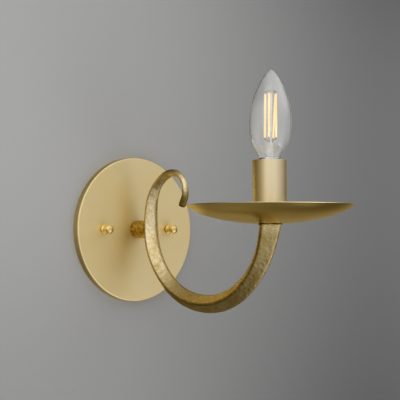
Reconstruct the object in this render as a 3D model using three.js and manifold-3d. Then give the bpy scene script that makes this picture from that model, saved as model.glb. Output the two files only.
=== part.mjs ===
// Single-arm electric candle wall sconce, modelled piece by piece.
// Units are millimetres, +Z up. The origin is the centre of the canopy on the
// wall plane: +Y points into the wall, -Y out into the room, and the arm lies
// in the plane x = 0. Below, p means the distance out from the wall (p = -y).
import * as THREE from 'three';
import { mergeVertices } from 'three/addons/utils/BufferGeometryUtils.js';
import Module from 'manifold-3d';

const wasm = await Module();
wasm.setup();

// ---------------------------------------------------------------- dimensions
const GAP = 0.3;                 // clearance between pieces that touch

// canopy (wall plate) and its fixings
const CANOPY_R = 69.85;          // 5-1/2 in diameter
const CANOPY_DEPTH = 6.67;       // wall plane to front face
const SHEET = 1.2;               // spun brass sheet
const STUD_X = 39.6;             // fixing studs left and right of centre
const BAR_T = 1.8;               // mounting crossbar thickness

// hub and arm
const HUB_R = 8.6;               // round stub between canopy and arm
const NIPPLE_R = 4.85;           // 1/8 IP running thread, drawn plain
const NIPPLE_BORE_R = 3.4;
const NIPPLE_HOLE_R = 5.2;
const ARM_WALL = 2.3;
const ARM_CAVITY = 8.4;          // wireway, across its flats
const WIRE_X = 1.35;             // the two leads lie side by side
const WIRE_R = 0.9;

// dish, candle and socket, all on one vertical axis
const AXIS_P = 183.92;           // candle axis out from the wall
const DISH_R = 69.85;
const DISH_BASE_Z = 3.3;
const DISH_RIM_Z = 18.56;
const ARM_TOP_Z = DISH_BASE_Z - GAP;
const COVER_R = 14.29;           // 1-1/8 in candle cover
const COVER_WALL = 0.9;
const COVER_BASE_Z = 4.95;
const COVER_TOP_Z = 55.85;

// lamp: 35 mm candle lamp with a 12 mm screw cap
const CAP_R = 5.9;
const COLLAR_TOP_Z = 57.6;
const LAMP_TIP_Z = 132.6;
const GLASS_LEAN = 1.7 * Math.PI / 180;   // the glass sits a little off straight in its cap
const LEAN_Z = 56;

// The arm: centre line (p, z) and bar width across the flats, from the blunt
// tip of the curl, over the back, under the bowl and up to the dish.
const ARM = [
  [73.55, 22.75, 6.70], [76.55, 28.60, 6.25], [77.67, 33.89, 5.88], [77.12, 39.17, 5.62],
  [74.97, 44.03, 5.52], [71.44, 47.99, 5.50], [66.89, 50.74, 5.62], [61.75, 52.09, 5.92],
  [56.20, 51.97, 6.38], [50.75, 50.45, 6.98], [45.75, 48.08, 7.60], [41.00, 44.85, 8.24],
  [36.45, 40.65, 9.00], [32.80, 35.10, 9.82], [30.10, 29.05, 10.60], [28.40, 21.60, 11.33],
  [27.50, 13.20, 12.00], [27.40, 5.40, 12.50], [27.99, -3.87, 12.91], [30.02, -14.73, 13.24],
  [33.95, -25.05, 13.37], [39.51, -34.60, 13.33], [46.39, -43.25, 13.15], [54.50, -50.77, 12.88],
  [63.65, -56.97, 12.62], [73.61, -61.75, 12.44], [84.17, -65.02, 12.40], [95.07, -66.85, 12.46],
  [106.12, -67.34, 12.57], [117.13, -66.43, 12.68], [127.93, -64.04, 12.79], [138.28, -60.16, 12.89],
  [147.93, -54.79, 12.99], [156.68, -48.03, 13.12], [164.49, -40.21, 13.36], [171.21, -31.43, 13.82],
  [176.59, -21.78, 14.59], [180.51, -11.44, 15.76], [183.13, -0.70, 17.33], [184.62, 7.10, 18.60],
];
const CAVITY_FIRST = 17;         // station where the wireway starts, above the hub
const CAVITY_LAST = 38;          // and where it opens into the dish nipple's bore

// ------------------------------------------------------------------- helpers
const group = new THREE.Group();
group.name = 'wall_sconce';

function signedVolume(pos, tri) {
  let v = 0;
  for (let i = 0; i < tri.length; i += 3) {
    const a = tri[i] * 3, b = tri[i + 1] * 3, c = tri[i + 2] * 3;
    v += pos[a] * (pos[b + 1] * pos[c + 2] - pos[b + 2] * pos[c + 1])
      - pos[a + 1] * (pos[b] * pos[c + 2] - pos[b + 2] * pos[c])
      + pos[a + 2] * (pos[b] * pos[c + 1] - pos[b + 1] * pos[c]);
  }
  return v / 6;
}

// closed three.js geometry -> solid, with its faces turned outwards
function solid(geometry) {
  let g = geometry.index ? geometry.toNonIndexed() : geometry.clone();
  g.deleteAttribute('normal');
  g.deleteAttribute('uv');
  g = mergeVertices(g, 1e-4);
  const pos = Float32Array.from(g.attributes.position.array);
  const src = g.index.array;
  const tri = [];
  for (let i = 0; i < src.length; i += 3) {
    const [a, b, c] = [src[i], src[i + 1], src[i + 2]];
    if (a !== b && b !== c && c !== a) tri.push(a, b, c);
  }
  if (signedVolume(pos, tri) < 0) {
    for (let i = 0; i < tri.length; i += 3) [tri[i + 1], tri[i + 2]] = [tri[i + 2], tri[i + 1]];
  }
  return new wasm.Manifold(new wasm.Mesh({ numProp: 3, vertProperties: pos, triVerts: Uint32Array.from(tri) }));
}

function geometryOf(man) {
  const m = man.getMesh();
  const g = new THREE.BufferGeometry();
  g.setAttribute('position', new THREE.BufferAttribute(Float32Array.from(m.vertProperties), 3));
  g.setIndex(new THREE.BufferAttribute(Uint32Array.from(m.triVerts), 1));
  g.computeVertexNormals();
  return g;
}

function add(name, man, color, roughness, metalness, extra = {}) {
  const mat = new THREE.MeshStandardMaterial({ color, roughness, metalness, ...extra });
  const mesh = new THREE.Mesh(geometryOf(man), mat);
  mesh.name = name;
  group.add(mesh);
  return mesh;
}

// solid of revolution about the vertical candle axis; pts are [radius, z]
function latheZ(pts, segments, { p = AXIS_P, x = 0, close = true } = {}) {
  const v = pts.map(([r, z]) => new THREE.Vector2(r, z));
  if (close) v.push(v[0].clone());
  const g = new THREE.LatheGeometry(v, segments);
  g.rotateX(Math.PI / 2);
  g.translate(x, -p, 0);
  return solid(g);
}

// solid of revolution about an axis square to the wall; pts are [radius, p]
function latheP(pts, segments, { x = 0, z = 0, close = true } = {}) {
  const v = pts.map(([r, p]) => new THREE.Vector2(r, p));
  if (close) v.push(v[0].clone());
  const g = new THREE.LatheGeometry(v, segments);
  g.rotateX(Math.PI);
  g.translate(x, 0, z);
  return solid(g);
}

function cylP(r, p0, p1, segments, x = 0, z = 0) {
  const g = new THREE.CylinderGeometry(r, r, p1 - p0, segments);
  g.translate(x, -(p0 + p1) / 2, z);
  return solid(g);
}

function cylZ(r, z0, z1, segments, x = 0, p = AXIS_P) {
  const g = new THREE.CylinderGeometry(r, r, z1 - z0, segments);
  g.rotateX(Math.PI / 2);
  g.translate(x, -p, (z0 + z1) / 2);
  return solid(g);
}

function box(x0, x1, p0, p1, z0, z1) {
  const g = new THREE.BoxGeometry(x1 - x0, p1 - p0, z1 - z0);
  g.translate((x0 + x1) / 2, -(p0 + p1) / 2, (z0 + z1) / 2);
  return solid(g);
}

// hexagonal nut blank; af is the size across the flats
function hexP(af, p0, p1, x = 0, z = 0) {
  return cylP(af / Math.sqrt(3), p0, p1, 6, x, z);
}
function hexZ(af, z0, z1) {
  return cylZ(af / Math.sqrt(3), z0, z1, 6);
}

// round wire along a smooth curve through points given as [x, p, z]
function wire(points, r, steps, sides = 6) {
  const curve = new THREE.CatmullRomCurve3(points.map(([x, p, z]) => new THREE.Vector3(x, -p, z)), false, 'centripetal');
  const shape = new THREE.Shape();
  for (let i = 0; i < sides; i++) {
    const a = (i / sides) * Math.PI * 2;
    if (i === 0) shape.moveTo(r * Math.cos(a), r * Math.sin(a));
    else shape.lineTo(r * Math.cos(a), r * Math.sin(a));
  }
  shape.closePath();
  return solid(new THREE.ExtrudeGeometry(shape, { steps, curveSegments: 1, bevelEnabled: false, extrudePath: curve }));
}

// Square bar set on its edge, swept along stations of [p, z, side]: one
// diagonal lies along x, the other points out of the curve. Corners are
// rounded in two steps, or bevelled once when cornerStep is 2.
function squareBar(stations, side, radiusRatio, cornerStep = 1) {
  const n = stations.length;
  const rings = [];
  for (let i = 0; i < n; i++) {
    const a = stations[Math.max(0, i - 1)], b = stations[Math.min(n - 1, i + 1)];
    let dp = b[0] - a[0], dz = b[1] - a[1];
    if (i === 0) {
      const c = stations[2];
      dp = 2 * (b[0] - a[0]) - (c[0] - a[0]) / 2; dz = 2 * (b[1] - a[1]) - (c[1] - a[1]) / 2;
    }
    const len = Math.hypot(dp, dz);
    const ty = -dp / len, tz = dz / len;
    const out = new THREE.Vector3(0, -tz, ty);
    const s = side(stations[i][2], i / (n - 1));
    const r = s * radiusRatio(i / (n - 1));
    const d = (s / 2 - r) * Math.SQRT2;
    const ring = [];
    for (let q = 0; q < 4; q++) {
      for (let k = -1; k <= 1; k += cornerStep) {
        const f = q * Math.PI / 2 + k * Math.PI / 4;
        const u = d * Math.cos(q * Math.PI / 2) + r * Math.cos(f);
        const w = d * Math.sin(q * Math.PI / 2) + r * Math.sin(f);
        ring.push(new THREE.Vector3(u, -stations[i][0], stations[i][1]).addScaledVector(out, w));
      }
    }
    rings.push(ring);
  }
  const m = rings[0].length;
  const pos = [];
  const tri = (a, b, c) => pos.push(a.x, a.y, a.z, b.x, b.y, b.z, c.x, c.y, c.z);
  for (let i = 0; i + 1 < n; i++) {
    for (let j = 0; j < m; j++) {
      const k = (j + 1) % m;
      tri(rings[i][j], rings[i][k], rings[i + 1][j]);
      tri(rings[i][k], rings[i + 1][k], rings[i + 1][j]);
    }
  }
  for (let j = 1; j + 1 < m; j++) {
    tri(rings[0][0], rings[0][j + 1], rings[0][j]);
    tri(rings[n - 1][0], rings[n - 1][j], rings[n - 1][j + 1]);
  }
  const g = new THREE.BufferGeometry();
  g.setAttribute('position', new THREE.Float32BufferAttribute(pos, 3));
  return solid(g);
}

const BRASS = 0xcbb487, BRASS_DEEP = 0xa5803c, STEEL = 0xb9bcc0, ZINC = 0xa9adb2;

// --------------------------------------------------------- canopy, wall side
let canopy = latheP([
  [NIPPLE_HOLE_R, CANOPY_DEPTH], [68.95, CANOPY_DEPTH], [69.55, 6.40], [CANOPY_R, 5.75],
  [CANOPY_R, 0], [CANOPY_R - SHEET, 0], [CANOPY_R - SHEET, 5.05], [68.2, CANOPY_DEPTH - SHEET],
  [NIPPLE_HOLE_R, CANOPY_DEPTH - SHEET],
], 48);
for (const x of [-STUD_X, STUD_X]) canopy = canopy.subtract(cylP(2.4, 4, 8, 20, x));
add('canopy_backplate', canopy, BRASS, 0.42, 1.0);

// crossbar: a stamped cross strap, studs left and right, box-screw slots
// above and below, and a large hole for the leads
let bar = box(-52, 52, 0, BAR_T, -9, 9).add(box(-9, 9, 0, BAR_T, -46, 46)).add(cylP(16, 0, BAR_T, 40));
bar = bar.subtract(cylP(8, -1, 3, 28));
for (const s of [-1, 1]) {
  bar = bar.subtract(cylP(2.3, -1, 3, 16, s * STUD_X));
  bar = bar.subtract(box(-2.4, 2.4, -1, 3, s > 0 ? 27 : -41, s > 0 ? 41 : -27));
}
bar = bar.subtract(cylP(2.2, -1, 3, 16, -22));
add('mounting_crossbar', bar, ZINC, 0.5, 1.0);

for (const [side, s] of [['left', -1], ['right', 1]]) {
  add(`canopy_stud_${side}`, cylP(2.0, 0.3, 11.6, 14, s * STUD_X), STEEL, 0.4, 1.0);
  add(`stud_locknut_${side}`, hexP(8.7, 2.1, 4.5, s * STUD_X).subtract(cylP(2.3, 1, 6, 16, s * STUD_X)), STEEL, 0.4, 1.0);
  // ball cap nut: flanged foot, short neck, slightly flattened ball
  const ball = [];
  for (let i = 0; i <= 6; i++) {
    const f = (0.27 + 0.73 * i / 6) * Math.PI;
    ball.push([Math.max(0, 4.6 * Math.sin(f)), 13.9 - 3.9 * Math.cos(f)]);
  }
  ball[6][0] = 0;
  add(`cap_nut_${side}`, latheP([
    [0, 12.0], [2.3, 12.0], [2.3, 6.97], [4.3, 6.97], [4.7, 7.35], [4.7, 8.05], [4.25, 8.7], [3.55, 9.4], [3.45, 10.2],
    ...ball,
  ], 18, { x: s * STUD_X, close: false }), BRASS_DEEP, 0.18, 1.0);
}

// earthing screw and its short bonding lead
add('ground_screw', latheP([[0, 0.3], [1.9, 0.3], [1.9, 2.1], [4.2, 2.1], [4.2, 3.6], [3.6, 4.3], [0, 4.3]], 16, { x: -22, close: false }), 0x3f8f4a, 0.45, 1.0);
add('ground_wire', wire([[-17.1, 3.3, 0.3], [-16.2, 3.3, 2.6], [-14.2, 3.3, 4.4], [-11.9, 3.3, 4.3], [-10.2, 3.3, 2.4]], 0.65, 14), 0xb8733a, 0.4, 1.0);

// ------------------------------------------------------------------- the hub
add('hub_nipple', latheP([[NIPPLE_BORE_R, 1.0], [NIPPLE_R, 1.0], [NIPPLE_R, 16.5], [NIPPLE_BORE_R, 16.5]], 20), BRASS_DEEP, 0.4, 1.0);
add('hub_locknut', hexP(15, 2.1, 4.07).subtract(cylP(NIPPLE_HOLE_R, 1, 5, 20)), STEEL, 0.4, 1.0);
add('hub_lockwasher', latheP([[NIPPLE_HOLE_R, 4.37], [8.4, 4.37], [8.4, 5.17], [NIPPLE_HOLE_R, 5.17]], 20), STEEL, 0.4, 1.0);

const armRadius = (t) => 0.17 + 0.2 * Math.max(0, 1 - t / 0.32);
const armOuter = squareBar(ARM, (s) => s, armRadius);
const armGrown = squareBar(ARM, (s) => s + 2 * GAP, armRadius);

let stub = latheP([
  [3.25, 17.0], [NIPPLE_HOLE_R, 17.0], [NIPPLE_HOLE_R, CANOPY_DEPTH + GAP], [HUB_R - 0.9, CANOPY_DEPTH + GAP],
  [HUB_R - 0.25, 7.25], [HUB_R, 7.9], [HUB_R, 25.8], [3.25, 25.8],
], 32);
stub = stub.subtract(armGrown);
add('hub_stub', stub, BRASS_DEEP, 0.45, 1.0);

// ------------------------------------------------------------------- the arm
const cavityStations = ARM.slice(CAVITY_FIRST, CAVITY_LAST + 1);
const cavity = squareBar(cavityStations, (s) => Math.min(ARM_CAVITY, s - 2 * ARM_WALL), () => 0.17, 2);
let arm = armOuter
  .subtract(cavity)
  .subtract(cylP(3.25, 14, 27.8, 18))
  .subtract(cylZ(NIPPLE_HOLE_R, -6.3, 12, 20))
  .subtract(box(-20, 20, AXIS_P - 30, AXIS_P + 30, ARM_TOP_Z, 30));
add('arm', arm, 0xbf9f62, 0.5, 1.0);

// --------------------------------------------------------- dish and fixings
add('dish_nipple', latheZ([[NIPPLE_BORE_R, -5.7], [NIPPLE_R, -5.7], [NIPPLE_R, 13.5], [NIPPLE_BORE_R, 13.5]], 20), BRASS_DEEP, 0.4, 1.0);

const dishUnder = [
  [NIPPLE_HOLE_R, DISH_BASE_Z], [13.0, DISH_BASE_Z], [28.0, 4.65], [41.0, 6.8],
  [52.0, 9.5], [60.0, 12.4], [65.8, 15.6], [DISH_R, 18.3],
];
const dishTop = [];
for (let i = dishUnder.length - 1; i >= 0; i--) {
  const a = dishUnder[Math.max(0, i - 1)], b = dishUnder[Math.min(dishUnder.length - 1, i + 1)];
  const len = Math.hypot(b[0] - a[0], b[1] - a[1]);
  const nr = -(b[1] - a[1]) / len, nz = (b[0] - a[0]) / len;
  dishTop.push(i === dishUnder.length - 1 ? [69.35, DISH_RIM_Z] : [dishUnder[i][0] + (i < 2 ? 0 : nr) * SHEET, dishUnder[i][1] + (i < 2 ? 1 : nz) * SHEET]);
}
add('bobeche_dish', latheZ([...dishUnder, ...dishTop], 48), 0xb39a62, 0.4, 1.0);
add('dish_washer', latheZ([[NIPPLE_HOLE_R, 4.8], [10, 4.8], [10, 5.8], [NIPPLE_HOLE_R, 5.8]], 20), STEEL, 0.4, 1.0);
add('dish_locknut', hexZ(15, 6.1, 8.9).subtract(cylZ(NIPPLE_HOLE_R, 5, 10, 20)), STEEL, 0.4, 1.0);

// ------------------------------------------------------- socket and its strap
let strap = box(-9.2, 9.2, AXIS_P - 4, AXIS_P + 4, 9.2, 10.4)
  .add(box(-9.2, -8.0, AXIS_P - 4, AXIS_P + 4, 9.2, 19.8))
  .add(box(8.0, 9.2, AXIS_P - 4, AXIS_P + 4, 9.2, 19.8))
  .add(box(-9.2, 9.2, AXIS_P - 4, AXIS_P + 4, 18.6, 19.8))
  .add(cylZ(6.6, 9.2, 12.6, 20));
strap = strap.subtract(cylZ(NIPPLE_HOLE_R, 8, 14, 20)).subtract(cylZ(1.8, 18, 21, 16));
add('socket_strap', strap, ZINC, 0.45, 1.0);

let body = latheZ([[1.8, 20.1], [10.6, 20.1], [11, 20.5], [11, 46.9], [10.5, 47.4], [7, 47.4], [7, 25], [1.8, 25]], 28);
for (const s of [-1, 1]) {
  // wiring groove and terminal recess on the wall side and the room side
  const p0 = AXIS_P + (s > 0 ? 8.2 : -13), p1 = AXIS_P + (s > 0 ? 13 : -8.2);
  body = body.subtract(box(-3.2, 3.2, p0, p1, 19, 37));
  body = body.subtract(cylP(1.5, AXIS_P + (s > 0 ? 6 : -9), AXIS_P + (s > 0 ? 9 : -6), 14, 0, 33.4));
}
add('socket_body', body, 0x2b2723, 0.55, 0.0);
add('socket_rivet', latheZ([[0, 17.2], [2.6, 17.2], [3.0, 17.6], [3.0, 18.3], [1.5, 18.3], [1.5, 26.0], [2.7, 26.0], [2.7, 26.8], [2.1, 27.3], [0, 27.3]], 14, { close: false }), STEEL, 0.4, 1.0);
add('socket_shell', latheZ([[6.25, 29.6], [6.7, 29.6], [6.7, 46.8], [6.25, 46.8]], 24), BRASS_DEEP, 0.35, 1.0);

// centre contact: foot under the rivet head, riser at one side, sprung tongue
const contactShape = new THREE.Shape();
[[-3.4, 25.3], [5.4, 25.3], [5.4, 31.4], [4.6, 32.3], [-1.6, 32.3], [-1.6, 31.9], [4.4, 31.9], [5.0, 31.2], [5.0, 25.7], [-3.4, 25.7]]
  .forEach(([x, z], i) => (i ? contactShape.lineTo(x, z) : contactShape.moveTo(x, z)));
contactShape.closePath();
const contactGeo = new THREE.ExtrudeGeometry(contactShape, { depth: 5, bevelEnabled: false });
contactGeo.rotateX(Math.PI / 2);
contactGeo.translate(0, -AXIS_P + 2.5, 0);
add('socket_center_contact', solid(contactGeo).subtract(cylZ(1.8, 25, 26, 16)), 0xc58b45, 0.35, 1.0);

for (const [name, s] of [['terminal_screw_line', -1], ['terminal_screw_neutral', 1]]) {
  // s = -1 is the wall side of the socket, s = +1 the room side
  const prof = [[0, 7.4], [1.2, 7.4], [1.2, 8.9], [2.6, 8.9], [2.6, 9.9], [2.2, 10.3], [0, 10.3]];
  const pts = prof.map(([r, d]) => [r, AXIS_P + s * d]);
  if (s < 0) pts.reverse();
  add(name, latheP(pts, 16, { z: 33.4, close: false }), s < 0 ? 0xb08d3e : 0xc3c5c8, 0.35, 1.0);
}

// --------------------------------------------------- candle cover and liner
add('candle_cover', latheZ([
  [COVER_R - COVER_WALL, COVER_BASE_Z], [COVER_R, COVER_BASE_Z], [COVER_R, COVER_TOP_Z - 0.25], [COVER_R - 0.25, COVER_TOP_Z],
  [COVER_R - COVER_WALL, COVER_TOP_Z],
], 40), BRASS, 0.4, 1.0);
add('candle_cover_liner', latheZ([[12.7, 5.25], [13.09, 5.25], [13.09, 55.2], [12.7, 55.2]], 32), 0xb9a27c, 0.9, 0.0);

// ------------------------------------------------------------------ the lamp
const lamp = new THREE.Group();
group.add(lamp);
const addLamp = (...a) => lamp.add(add(...a));

addLamp('lamp_cap', latheZ([
  [3.4, 35.3], [5.3, 35.3], [CAP_R, 36.1], [CAP_R, 47.9], [6.3, 48.9], [8.6, 50.3], [9.3, 51.2], [9.3, COLLAR_TOP_Z], [8.9, COLLAR_TOP_Z],
  [8.9, 51.4], [8.4, 50.7], [6.0, 49.2], [5.5, 48.1], [5.5, 36.3], [5.1, 35.7], [3.4, 35.7],
], 24), 0xc9ccd0, 0.25, 1.0);
addLamp('lamp_insulator', latheZ([[1.4, 33.5], [2.7, 33.5], [5.0, 34.6], [5.0, 35.0], [1.4, 35.0]], 16), 0x161616, 0.3, 0.0);
addLamp('lamp_foot_contact', latheZ([[0, 32.6], [1.9, 32.6], [2.3, 32.9], [2.3, 33.2], [1.0, 33.2], [1.0, 34.7], [0, 34.7]], 14, { close: false }), 0xb9bcc0, 0.35, 1.0);
addLamp('lamp_driver', box(-3.5, 3.5, AXIS_P - 0.6, AXIS_P + 0.6, 36.6, 47.6)
  .add(box(-2.4, 0.6, AXIS_P + 0.4, AXIS_P + 2.8, 38.2, 42.4))
  .add(box(-1.2, 2.2, AXIS_P - 2.4, AXIS_P - 0.4, 40.0, 45.0)), 0x2f6b3d, 0.6, 0.0);

// the blown glass, with everything sealed inside it, is cemented a little crooked into the cap
const glass = new THREE.Group();
const leanTurn = new THREE.Quaternion().setFromAxisAngle(new THREE.Vector3(0.6730, 0.7396, 0).normalize(), GLASS_LEAN);
const leanPivot = new THREE.Vector3(0, -AXIS_P, LEAN_Z);
glass.quaternion.copy(leanTurn);
glass.position.copy(leanPivot).sub(leanPivot.clone().applyQuaternion(leanTurn));
lamp.add(glass);
const addGlass = (...a) => glass.add(add(...a));

const glassOut = [
  [8.5, 51.6], [8.5, 57.3], [9.6, 59.8], [11.8, 63.6], [14.0, 67.2], [15.8, 71.8],
  [17.0, 78.5], [17.6, 87.5], [17.2, 96.8], [15.7, 104.8], [13.5, 111.4],
  [10.5, 118.6], [7.6, 124.2], [4.4, 129.0], [1.6, 132.0], [0, LAMP_TIP_Z],
];
const glassIn = [];
for (let i = glassOut.length - 1; i >= 0; i--) {
  if (i === glassOut.length - 1) { glassIn.push([0, LAMP_TIP_Z - 0.9]); continue; }
  if (i === glassOut.length - 2) continue;
  const a = glassOut[Math.max(0, i - 1)], b = glassOut[i + 1];
  const len = Math.hypot(b[0] - a[0], b[1] - a[1]);
  glassIn.push([glassOut[i][0] - 0.7 * (b[1] - a[1]) / len, glassOut[i][1] + (i ? 0.7 * (b[0] - a[0]) / len : 0)]);
}
addGlass('lamp_glass', latheZ([...glassIn.reverse(), ...glassOut.slice().reverse()].map(([r, z]) => [Math.max(0, r), z]), 24), 0xdfe3e4, 0.05, 0.0, { transparent: true, opacity: 0.35 });
addGlass('lamp_stem', latheZ([
  [0, 51.8], [7.2, 51.8], [7.2, 52.3], [5.6, 54.6], [4.2, 58.4], [3.3, 62.6], [2.9, 66.0], [2.9, 70.0], [1.5, 71.2], [1.1, 73.5], [1.1, 111.6], [0, 112.2],
], 14, { close: false }), 0xdfe3e4, 0.05, 0.0, { transparent: true, opacity: 0.5 });

// four filaments, given where they start and end: u across, v in depth
const U = new THREE.Vector2(0.7396, -0.6730), V = new THREE.Vector2(0.6730, 0.7396);
const at = (u, v, z) => [U.x * u + V.x * v, AXIS_P - (U.y * u + V.y * v), z];
const FIL = [
  { low: [-4.3, 2.0], high: [-4.8, 1.6] },
  { low: [-1.4, -4.4], high: [-2.0, -4.0] },
  { low: [2.9, 3.9], high: [3.7, 2.7] },
  { low: [4.9, -1.9], high: [3.9, -2.2] },
];
FIL.forEach((f, i) => {
  addGlass(`lamp_filament_${i + 1}`, wire([at(...f.low, 75.0), at((f.low[0] + f.high[0]) / 2, (f.low[1] + f.high[1]) / 2, 93.3), at(...f.high, 111.6)], 0.85, 4, 8), 0xffc768, 0.4, 0.0, { emissive: 0xffb347, emissiveIntensity: 1.2 });
  const [u, v] = f.low;
  const k = 2.15 / Math.hypot(u, v);
  addGlass(`lamp_lead_${i + 1}`, wire([at(u * k, v * k, 70.9), at(u * (k + 0.12), v * (k + 0.12), 72.6), at(u * 0.86, v * 0.86, 73.3), at(u, v, 74.7)], 0.28, 6, 5), 0x8d8f92, 0.35, 1.0);
});
for (const [name, a, b, side] of [['lamp_top_wire_1', 0, 1, -1], ['lamp_top_wire_2', 2, 3, 1]]) {
  const A = FIL[a].high, B = FIL[b].high;
  const mu = (A[0] + B[0]) / 2 * 0.55, mv = (A[1] + B[1]) / 2 * 0.55;
  addGlass(name, wire([at(...A, 111.9), at(A[0] * 0.93, A[1] * 0.93, 113.1), at(mu, mv, 113.9), at(B[0] * 0.93, B[1] * 0.93, 113.1), at(...B, 111.9)], 0.28, 10, 5), 0x8d8f92, 0.35, 1.0);
}

// ----------------------------------------------------------------- the leads
const run = [];
for (let i = 19; i <= 37; i += 1) run.push([ARM[i][0], ARM[i][1]]);
for (const [name, s, color] of [['line_wire', 1, 0x1b1b1b], ['neutral_wire', -1, 0xe8e6e0]]) {
  const q = -s;     // the line lead ends on the wall side of the socket
  const pts = [[s * WIRE_X, 0.6, 0], [s * WIRE_X, 8, 0], [s * WIRE_X, 16, 0], [s * WIRE_X, 22, 0], [s * WIRE_X, 25.6, -0.9], [s * WIRE_X, 27.5, -3.6], [s * WIRE_X, 28.4, -7.6]];
  for (const [p, z] of run) pts.push([s * WIRE_X, p, z]);
  pts.push([s * WIRE_X, 182.6, -4], [s * WIRE_X, AXIS_P, 3], [s * WIRE_X, AXIS_P, 10], [s * 1.25, AXIS_P + q * 0.4, 13.6],
    [s * 0.9, AXIS_P + q * 3.8, 15.4], [s * 0.5, AXIS_P + q * 7.3, 16.8], [s * 0.2, AXIS_P + q * 9.3, 18.6], [0, AXIS_P + q * 9.55, 21.5], [0, AXIS_P + q * 9.5, 30.4]);
  add(name, wire(pts, WIRE_R, 56, 6), color, 0.6, 0.0);
}

export default group;
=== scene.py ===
"""Looks for the electric candle wall sconce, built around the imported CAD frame.
Metres, +Z up. The wall is the plane y = 0, the room is towards -Y, and the arm lies in x = 0."""

import math

import bmesh
import bpy
import numpy as np
from mathutils import Matrix, Vector, noise


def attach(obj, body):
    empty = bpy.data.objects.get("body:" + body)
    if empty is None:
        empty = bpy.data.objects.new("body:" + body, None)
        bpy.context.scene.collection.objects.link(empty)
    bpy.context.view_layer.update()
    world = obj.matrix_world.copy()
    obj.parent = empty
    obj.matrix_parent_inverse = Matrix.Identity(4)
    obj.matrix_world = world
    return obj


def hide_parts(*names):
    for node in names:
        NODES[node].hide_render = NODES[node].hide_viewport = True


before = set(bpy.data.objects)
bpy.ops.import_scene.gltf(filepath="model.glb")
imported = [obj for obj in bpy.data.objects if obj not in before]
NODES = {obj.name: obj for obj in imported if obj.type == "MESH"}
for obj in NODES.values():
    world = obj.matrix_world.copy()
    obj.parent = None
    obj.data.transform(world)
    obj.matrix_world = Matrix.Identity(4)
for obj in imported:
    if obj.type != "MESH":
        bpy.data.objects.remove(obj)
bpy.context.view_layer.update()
MM = 0.001
AXIS = (0.0, -0.18392)           # the candle's vertical axis

scene = bpy.context.scene
scene.view_settings.view_transform = "Standard"
scene.view_settings.look = "None"
# a product print's tone: deeper shadows, straight highlights
scene.view_settings.use_curve_mapping = True
tone_map = scene.view_settings.curve_mapping
tone_map.extend = "EXTRAPOLATED"
TONE_K, TONE_N = 0.06, 3.0


def tone_curve(x):
    return x * (x / (x + TONE_K)) ** TONE_N * (1 + TONE_K) ** TONE_N


for x in (0.015, 0.03, 0.05, 0.075, 0.105, 0.14, 0.19, 0.26, 0.36, 0.48, 0.62, 0.78, 0.9):
    tone_map.curves[3].points.new(x, tone_curve(x))
tone_map.update()

# ------------------------------------------------------------------ camera
AZ, DIST, CAM_Z = 0.663381581814243, 0.8775478873814147, -0.007087501959892553
YAW, PITCH, ROLL = 0.663381581814243 + 0.0749499220051448, 0.04081009645495595, -0.00451650175550426
FOCAL = 890.759335053201 / 400.0

cam_data = bpy.data.cameras.new("camera")
cam_data.sensor_width = 36.0
cam_data.lens = 36.0 * FOCAL
cam_data.clip_start, cam_data.clip_end = 0.02, 50.0
camera = bpy.data.objects.new("camera", cam_data)
scene.collection.objects.link(camera)
forward = Vector((math.sin(YAW) * math.cos(PITCH), math.cos(YAW) * math.cos(PITCH), math.sin(PITCH)))
right = Vector((math.cos(YAW), -math.sin(YAW), 0.0))
up = right.cross(forward)
r_axis = right * math.cos(ROLL) + up * math.sin(ROLL)
u_axis = up * math.cos(ROLL) - right * math.sin(ROLL)
m = Matrix((r_axis, u_axis, -forward)).transposed().to_4x4()
m.translation = Vector((-DIST * math.sin(AZ), -DIST * math.cos(AZ), CAM_Z))
camera.matrix_world = m
scene.camera = camera


# ------------------------------------------------------------ mesh helpers
def link(name, mesh):
    obj = bpy.data.objects.new(name, mesh)
    scene.collection.objects.link(obj)
    return obj


def finish_bmesh(bm, name, angle=32.0, flip_check=True):
    bmesh.ops.remove_doubles(bm, verts=bm.verts, dist=1e-8)
    if flip_check:
        bmesh.ops.recalc_face_normals(bm, faces=bm.faces)
    for f in bm.faces:
        f.smooth = True
    lim = math.radians(angle)
    for e in bm.edges:
        if len(e.link_faces) == 2 and e.calc_face_angle(0.0) > lim:
            e.smooth = False
    mesh = bpy.data.meshes.new(name)
    bm.to_mesh(mesh)
    bm.free()
    return link(name, mesh)


def fillet(points, radius, steps=5, closed=True):
    """Rounds the corners of a profile; a point may carry its own radius as a third value."""
    out, n = [], len(points)
    for i, pt in enumerate(points):
        p = Vector(pt[:2])
        r = pt[2] if len(pt) > 2 else radius
        if not closed and i in (0, n - 1):
            out.append(tuple(p))
            continue
        a, b = Vector(points[i - 1][:2]), Vector(points[(i + 1) % n][:2])
        u, v = (a - p), (b - p)
        lu, lv = u.length, v.length
        if r <= 0 or lu < 1e-9 or lv < 1e-9:
            out.append(tuple(p))
            continue
        u, v = u / lu, v / lv
        ang = math.acos(max(-1.0, min(1.0, u.dot(v))))
        if ang > math.pi - 0.03:
            out.append(tuple(p))
            continue
        d = min(r / math.tan(ang / 2), 0.46 * lu, 0.46 * lv)
        rr = d * math.tan(ang / 2)
        c = p + (u + v).normalized() * (rr / math.sin(ang / 2))
        s, e = p + u * d, p + v * d
        # a held loop just before and after each round keeps the flats flat
        out.append(tuple(s + u * min(0.12 * d, 0.05)))
        a0 = math.atan2(s.y - c.y, s.x - c.x)
        a1 = math.atan2(e.y - c.y, e.x - c.x)
        da = (a1 - a0 + math.pi) % (2 * math.pi) - math.pi
        for k in range(steps + 1):
            f = a0 + da * k / steps
            out.append((c.x + rr * math.cos(f), c.y + rr * math.sin(f)))
        out.append(tuple(e + v * min(0.12 * d, 0.05)))
    return out


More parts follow.
